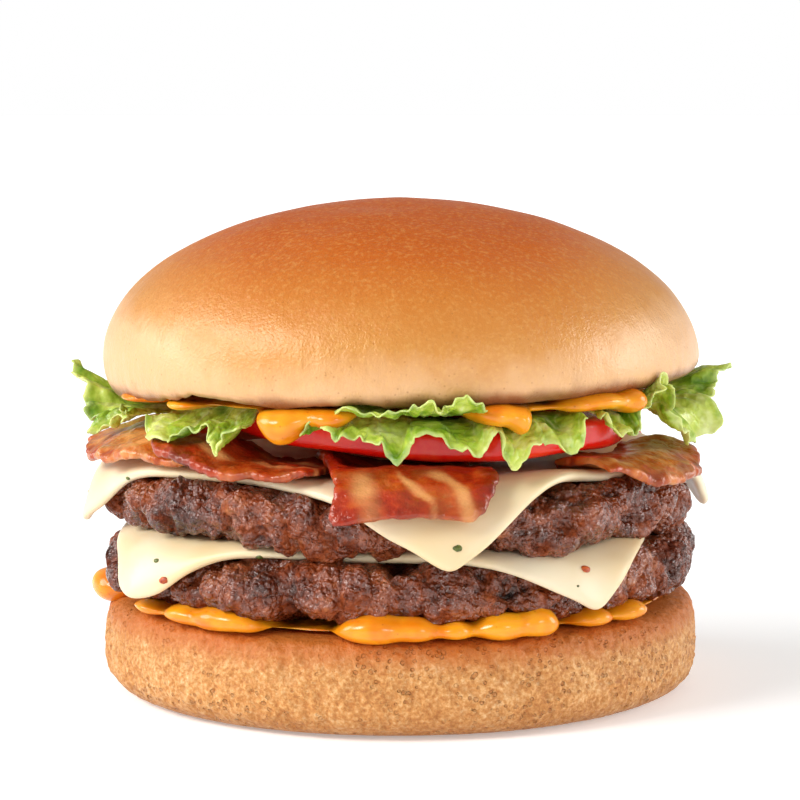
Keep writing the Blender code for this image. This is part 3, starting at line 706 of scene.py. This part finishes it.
def floor_look():
    look = Look("floor")
    tone = look.ramp(look.noise(300, 2), (0.3, "F4F4F4"), (0.7, "F8F8F8"))
    return look.finish(
        Base_Color=tone, Roughness=0.7, Specular_IOR_Level=0.1, Emission_Color="FFFFFF",
        Emission_Strength=FLOOR_GLOW
    )


def dress(piece, node, material):
    """Gives the piece its material and puts it in the place of its solid, if it stands for one."""
    piece.data.materials.clear()
    piece.data.materials.append(material)
    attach(piece, "root")
    if node:
        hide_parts(node)
    return piece


def bun_crown():
    """The domed crust, with faint wrinkles above its rim and a toasted line where it was cut."""
    sharp = round_grid("bun_crown", CROWN_SIDE, CROWN_GRID, CROWN_CREASE)
    above = (sharp[..., 2] - RIM_HEIGHT - RIM_SLOPE * sharp[..., 0]) / MM
    soft = ramped(1, RIM_REACH / MM, above)[..., None]
    grid = soft * smoothed(sharp, 4) + (1 - soft) * smoothed(sharp, 1)
    low = ramped(14, 2, above) * ramped(-2, 0.5, above)
    stretched = grid * (1, 1, 0.3)
    relief = 0.22 + 0.20 * rough(grid, 16 * MM, 2.0, 2) + 0.16 * low * rough(stretched, 2.6 * MM, 4.0, 2)
    line = ramped(3.0, 1.0, above + 0.7 * rough(stretched, 5 * MM, 7.0, 3))
    streaks = 0.45 * ramped(6, 0, above) * ramped(0.25, 0.7, rough(stretched, 3 * MM, 9.0, 2))
    grid = grid + grid_normals(grid) * (relief * MM)[..., None]
    return round_piece("bun_crown_crust", grid, toast=np.maximum(line, streaks))


def bun_heel():
    """The cut bottom half of the bun, its side full of small dents."""
    grid = smoothed(round_grid("bun_heel", HEEL_SIDE, HEEL_GRID, HEEL_CREASE), 4)
    side = ramped(0.9, 1.0, np.hypot(grid[..., 0], grid[..., 1]) / grid[..., 0].max())
    often = 0.5 + 0.5 * rough(grid, 12 * MM, 4.0)
    (wide_size, wide_depth), (small_size, small_depth) = WIDE_DENT, SMALL_DENT
    wide = ramped(0.74, 0.92, lumps(grid, wide_size, 3.0)) * often
    small = ramped(0.62, 0.90, lumps(grid, small_size, 8.0))
    grain = 0.16 * rough(grid, 0.9 * MM, 5.0, 2)
    relief = side * (grain - wide_depth * wide - small_depth * small + 0.15)
    relief += 0.35 * side * rough(grid, 14 * MM, 1.0, 2)
    grid = grid + grid_normals(grid) * (relief * MM)[..., None]
    grid[..., 2] = np.maximum(grid[..., 2], 0)
    # Marks the dents for the crumb's material, which darkens them as painted shade
    return round_piece("bun_heel_crumb", grid, pit=side * np.clip(wide + 0.5 * small, 0, 1))


def patty(node, seed):
    """Beef whose side breaks up into large lumps, clumps and grains, and stays inside the cheese."""
    grid = smoothed(round_grid(node, PATTY_SIDE, PATTY_GRID), 3)
    warped = grid + 1.6 * MM * np.stack([rough(grid, 5 * MM, seed + k, 2) for k in range(3)], axis=-1)
    relief = 0.16 * rough(grid, 0.8 * MM, seed + 8, 2) - BEEF_SINK
    level = 0
    for number, (size, rise, share) in enumerate(BEEF_LUMPS):
        heap = lumps(warped, size, seed + 2 * number)
        relief += rise * heap
        level += share * heap
    normals = grid_normals(grid)
    room = room_above(grid, normals, ("cheese_lower", "cheese_upper"))
    relief = np.minimum(relief * MM, room - CHEESE_ROOM)
    grid = grid + normals * relief[..., None]
    # The relief attribute keeps how high each place stands among the lumps; the beef's material darkens the
    # low places as painted shade
    return round_piece(f"{node}_beef", grid, relief=level)


def cheese(node):
    """A smooth slice with soft edges."""
    piece = refined(f"{node}_slice", node, SHEET_LEVELS)
    points = points_of(piece)
    points += normals_of(piece) * (0.30 + 0.12 * rough(points, 6 * MM, 2.0))[:, None] * MM
    set_points(piece, points)
    return piece


def fleck(slices, node, azimuth, height, size, seed):
    """A bit of herb or pepper sunk half into a slice, as its mesh's points and faces."""
    azimuth = math.radians(azimuth)
    out = np.array((math.cos(azimuth), math.sin(azimuth), 0))
    start = Vector(out * FLECK_REACH + (0, 0, height * MM))
    place, normal, _, _ = slices[node].ray_cast(start, Vector(-out), FLECK_SEARCH)
    if place is None:
        place, normal, _, _ = slices[node].find_nearest(start)
    shape = bmesh.new()
    bmesh.ops.create_icosphere(shape, subdivisions=3, radius=0.5 * size * MM)
    turn = normal.to_track_quat("Z", "Y")
    points = np.array([v.co for v in shape.verts])
    points *= (1 + 0.35 * rough(points, 0.7 * MM, seed))[:, None] * (1.0, 0.75, 0.4)
    faces = [[v.index for v in face.verts] for face in shape.faces]
    shape.free()
    return [tuple(place + turn @ Vector(point)) for point in points], faces


def flecks(slices, colour):
    """All flecks of one colour as one piece."""
    points, faces = [], []
    for seed, (node, azimuth, height, shade, size) in enumerate(FLECKS):
        if shade == colour:
            more, cells = fleck(slices, node, azimuth, height, size, seed)
            faces += [[corner + len(points) for corner in face] for face in cells]
            points += more
    mesh = bpy.data.meshes.new(f"cheese_flecks_{colour}")
    mesh.from_pydata(points, [], faces)
    mesh.shade_smooth()
    return new_piece(mesh.name, mesh)


def bacon(node, seed):
    """A fried strip with streaks of fat along it, rough crisp edges and blisters."""
    width, amber, path = BACON_STRIPS[node]
    piece = refined(f"{node}_rasher", node, SHEET_LEVELS, BACON_CREASE)
    points = points_of(piece)
    steps = np.linspace(0, 1, STRIP_STEPS)
    track = through(path, steps) * MM
    heading = np.gradient(track, axis=0)
    heading /= np.linalg.norm(heading, axis=1, keepdims=True)
    aside = points[:, None, :2] - track[None]
    nearest = np.hypot(aside[..., 0], aside[..., 1]).argmin(axis=1)
    here, way = aside[np.arange(len(points)), nearest], heading[nearest]
    across = (way[:, 0] * here[:, 1] - way[:, 1] * here[:, 0]) / (width / 2 * MM)
    length = np.hypot(*np.diff(track, axis=0).T).sum()
    along = steps[nearest] * length
    strip = np.stack([along, across * width / 4 * MM, np.full_like(along, 0.01 * seed)], axis=-1)
    wander = rough(strip, 11 * MM, seed, 2)
    streaks = [
        np.exp(-(((across - middle - 0.40 * wander) / breadth) ** 2))
        for middle, breadth in FAT_STREAKS
    ]
    fat = np.max(streaks, axis=0) * (0.55 + 0.6 * rough(strip, 6 * MM, seed + 3, 2))
    edge = ramped(0.75, 1.0, np.abs(across))
    blisters = lumps(points, 1.5 * MM, seed)
    swell = 0.30 * rough(points, 3.2 * MM, seed, 2) + 0.35 * edge * blisters + 0.12 * blisters
    points += normals_of(piece) * (swell * MM)[:, None]
    points[:, 2] += (0.4 + 0.7 * edge) * MM * rough(strip, 4.5 * MM, seed + 6)
    jag = edge * np.sign(across) * (0.5 * rough(strip, 1.6 * MM, seed + 9, 2) + 0.2) * MM
    points[:, 0] -= way[:, 1] * jag
    points[:, 1] += way[:, 0] * jag
    set_points(piece, points)
    paint(piece, "fat", fat)
    paint(piece, "amber", np.clip(amber + 0.4 * rough(strip, 7 * MM, seed + 15, 2), 0, 1))
    paint(piece, "crisp", edge * (0.5 + 0.7 * rough(strip, 3 * MM, seed + 12)))
    return piece


def tomato(node):
    """A slice with a smooth skin round its edge."""
    grid = smoothed(round_grid(node, TOMATO_SIDE, TOMATO_GRID, TOMATO_CREASE), 2)
    centre = grid[0].mean(axis=0)
    out = np.hypot(grid[..., 0] - centre[0], grid[..., 1] - centre[1])
    flesh = 1 - ramped(0.90, 0.97, out / out.max(axis=0, keepdims=True))
    relief = 0.12 * rough(grid, 7 * MM, 3.0, 2)
    grid = grid + grid_normals(grid) * (relief * MM)[..., None]
    return round_piece(f"{node}_slice", grid, flesh=flesh)


def leaf(node, seed):
    """A thin crinkled leaf, drawn again through its solid's edge at full detail, with a ruffled rim."""
    edge = np.array(LEAF_EDGES[node], float)
    span = math.radians(edge[-1, 0] - edge[0, 0]) * edge[:, 1].mean() * MM
    columns = round(1.15 * span / LEAF_CELL)
    share, out = np.meshgrid(np.linspace(0, 1, columns), np.linspace(0, 1, LEAF_ROWS))
    azimuth, radius, height = through(edge, share[0]).T
    middle = 0.5 * (edge[0, 0] + edge[-1, 0])
    azimuth = np.radians(middle + (azimuth - middle) * (LEAF_ROOT_WIDTH + (1 - LEAF_ROOT_WIDTH) * out))
    root, shoulder, rim = (1 - out) ** 2, 2 * out * (1 - out), out**2
    reach = root * LEAF_ROOT_RADIUS + shoulder * LEAF_SHOULDER_RADIUS + rim * radius * MM
    x, y = reach * np.cos(azimuth), reach * np.sin(azimuth)
    level = RIM_HEIGHT + RIM_SLOPE * x
    z = root * (level - LEAF_ROOT_DROP) + shoulder * (level - LEAF_SHOULDER_DROP) + rim * height * MM
    grid = np.stack([x, y, z], axis=-1)
    tree = surface_of(node)
    near = np.array([tree.find_nearest(Vector(point))[0] for point in grid.reshape(-1, 3)])
    grid = grid + blurred(near.reshape(grid.shape) - grid, 10)
    run = share * span
    flat = np.stack([run, 0.5 * out * LEAF_SHOULDER_RADIUS, np.full_like(run, 0.01 * seed)], axis=-1)
    depth = LOBE_DEPTH.get(node, PLAIN_LOBE_DEPTH)
    ruffle = (1.2 + 0.3 * depth) * out**2 * rough(flat * (1, 0.25, 1), 3.0 * MM, seed, 2)
    ruffle += 1.1 * out**4 * rough(flat * (1, 0.3, 1), 1.5 * MM, seed + 9, 1)
    crinkle = 0.30 * (0.3 + 0.7 * out) * rough(flat, 1.5 * MM, seed + 3, 2)
    fan = run / VEIN_SPACING + 0.35 * rough(flat, 5 * MM, seed + 5, 2)
    vein = np.exp(-((np.abs(fan % 1 - 0.5) / (0.05 + 0.03 * (1 - out))) ** 2)) * ramped(1.0, 0.55, out)
    branch = np.abs((fan * 2.3 + 2.2 * out) % 1 - 0.5)
    vein = np.maximum(vein, 0.6 * np.exp(-((branch / 0.05) ** 2)))
    across, along = np.gradient(grid, axis=0), np.gradient(grid, axis=1)
    normals = np.cross(along, across)
    normals /= np.linalg.norm(normals, axis=2, keepdims=True)
    outward = across / np.linalg.norm(across, axis=2, keepdims=True)
    lobes = depth * (lumps(flat * (1, 0, 1), 3.8 * MM, seed + 11) - 1)
    teeth = (lobes + 0.9 * rough(flat * (1, 0, 1), 1.3 * MM, seed + 7, 2) + 0.8) * ramped(0.55, 1, out)
    relief = ruffle + crinkle + 0.15 * vein
    grid = grid + normals * (relief * MM)[..., None] + outward * (teeth * MM)[..., None]
    pale = ramped(0.93, 1.0, out) + 0.35 * ramped(0.6, 0.0, out)
    thickness = LEAF_THICKNESS * (1 - 0.45 * out)
    return thick_sheet(f"{node}_leaf", grid, thickness, vein=vein, pale=np.clip(pale, 0, 1))


def sauce(node):
    """A layer of sauce that is squeezed out into glossy blobs at the rim."""
    columns, (top, bead, bottom) = SAUCE_GRID
    azimuth = np.arange(columns) * 360 / columns
    rest_reach, rest_low, rest_high = SAUCE_REST[node]
    reach, low, high = (np.full(columns, value) for value in SAUCE_REST[node])
    for at, half_width, blob_reach, blob_low, blob_high in SAUCE_BLOBS[node]:
        away = np.abs((azimuth - at + 180) % 360 - 180) / half_width
        swell = np.clip(1 - away * away, 0, 1) ** 0.7
        reach = np.maximum(reach, rest_reach + (blob_reach - rest_reach) * swell**0.6)
        low = np.minimum(low, rest_low + (blob_low - rest_low) * swell)
        high = np.maximum(high, rest_high + (blob_high - rest_high) * swell)
    reach, low, high = (blurred(values[None], 4)[0] * MM for values in (reach, low, high))
    around = np.radians(azimuth)
    out = np.stack([np.cos(around), np.sin(around), np.zeros(columns)], axis=-1)
    up = np.array((0, 0, 1))
    inner = reach - BEAD_WIDTH
    grid = []
    flat = rest_high * MM
    for share in np.linspace(0, 1, top, endpoint=False):
        grid.append(out * (inner * share)[:, None] + up * (flat + (high - flat) * share**8)[:, None])
    for angle in np.linspace(math.pi / 2, -math.pi / 2, bead):
        radius = inner + BEAD_WIDTH * math.cos(angle) ** 0.8
        level = (high + low) / 2 + (high - low) / 2 * math.sin(angle)
        grid.append(out * radius[:, None] + up * level[:, None])
    flat = rest_low * MM
    for share in np.linspace(1, 0, bottom + 1)[1:]:
        grid.append(out * (inner * share)[:, None] + up * (flat + (low - flat) * share**8)[:, None])
    grid = smoothed(np.array(grid), 2)
    grid = grid + grid_normals(grid) * (0.5 * MM * rough(grid, 9 * MM, 6.0, 2))[..., None]
    return round_piece(f"{node}_layer", grid)


def studio():
    """A pale floor, soft light from the front and both sides, a sky with a white band, and the camera."""
    mesh = bpy.data.meshes.new("floor")
    shape = bmesh.new()
    bmesh.ops.create_grid(shape, x_segments=1, y_segments=1, size=FLOOR_HALF_WIDTH)
    shape.to_mesh(mesh)
    shape.free()
    floor = new_piece("floor", mesh)
    floor.data.materials.append(floor_look())
    for name, (place, spread, power, colour) in SUNS.items():
        light = bpy.data.lights.new(name, "SUN")
        light.angle = math.radians(spread)
        light.energy = power
        light.color = colour
        lamp = bpy.data.objects.new(name, light)
        lamp.location = place
        lamp.rotation_euler = (-Vector(place)).to_track_quat("-Z", "Y").to_euler()
        bpy.context.scene.collection.objects.link(lamp)
    world = bpy.data.worlds.new("studio")
    world.use_nodes = True
    nodes, link = world.node_tree.nodes, world.node_tree.links.new
    nodes["Background"].inputs["Color"].default_value = (1, 1, 1, 1)
    split, range_ = nodes.new("ShaderNodeSeparateXYZ"), nodes.new("ShaderNodeMapRange")
    for socket, value in zip(("From Min", "From Max", "To Min", "To Max"), SKY_RANGE):
        range_.inputs[socket].default_value = value
    link(nodes.new("ShaderNodeTexCoord").outputs["Generated"], split.inputs[0])
    link(split.outputs["Z"], range_.inputs["Value"])
    link(range_.outputs[0], nodes["Background"].inputs["Strength"])
    bpy.context.scene.world = world
    bpy.context.scene.view_settings.view_transform = "Standard"
    eye = bpy.data.cameras.new("camera")
    eye.sensor_width = SENSOR_WIDTH
    eye.lens = FOCAL_PIXELS * SENSOR_WIDTH / FRAME_PIXELS
    camera = bpy.data.objects.new("camera", eye)
    camera.location = (0, -CAMERA_DISTANCE, CAMERA_HEIGHT)
    camera.rotation_euler = (math.pi / 2 - CAMERA_TILT, 0, 0)
    bpy.context.scene.collection.objects.link(camera)
    bpy.context.scene.camera = camera


def main():
    studio()
    crust, crumb, beef, cheesy = crust_look(), crumb_look(), beef_look(), cheese_look()
    fried, red, green, orange = bacon_look(), tomato_look(), lettuce_look(), sauce_look()
    dress(bun_heel(), "bun_heel", crumb)
    dress(bun_crown(), "bun_crown", crust)
    for number, node in enumerate(("patty_lower", "patty_upper")):
        dress(patty(node, 11.0 + 18 * number), node, beef)
    slices = {}
    for node in ("cheese_lower", "cheese_upper"):
        piece = dress(cheese(node), node, cheesy)
        slices[node] = BVHTree.FromObject(piece, bpy.context.evaluated_depsgraph_get())
    for colour, dark, light in (("green", "38420E", "66702A"), ("red", "8A2008", "D0601A")):
        dress(flecks(slices, colour), None, fleck_look(f"{colour}_fleck", dark, light))
    for number, node in enumerate(BACON_STRIPS):
        dress(bacon(node, 1.0 + 2.0 * number), node, fried)
    for node in ("tomato_back", "tomato_front"):
        dress(tomato(node), node, red)
    for number, node in enumerate(LEAF_EDGES):
        dress(leaf(node, 1.0 + number), node, green)
    for node in SAUCE_BLOBS:
        dress(sauce(node), node, orange)


main()
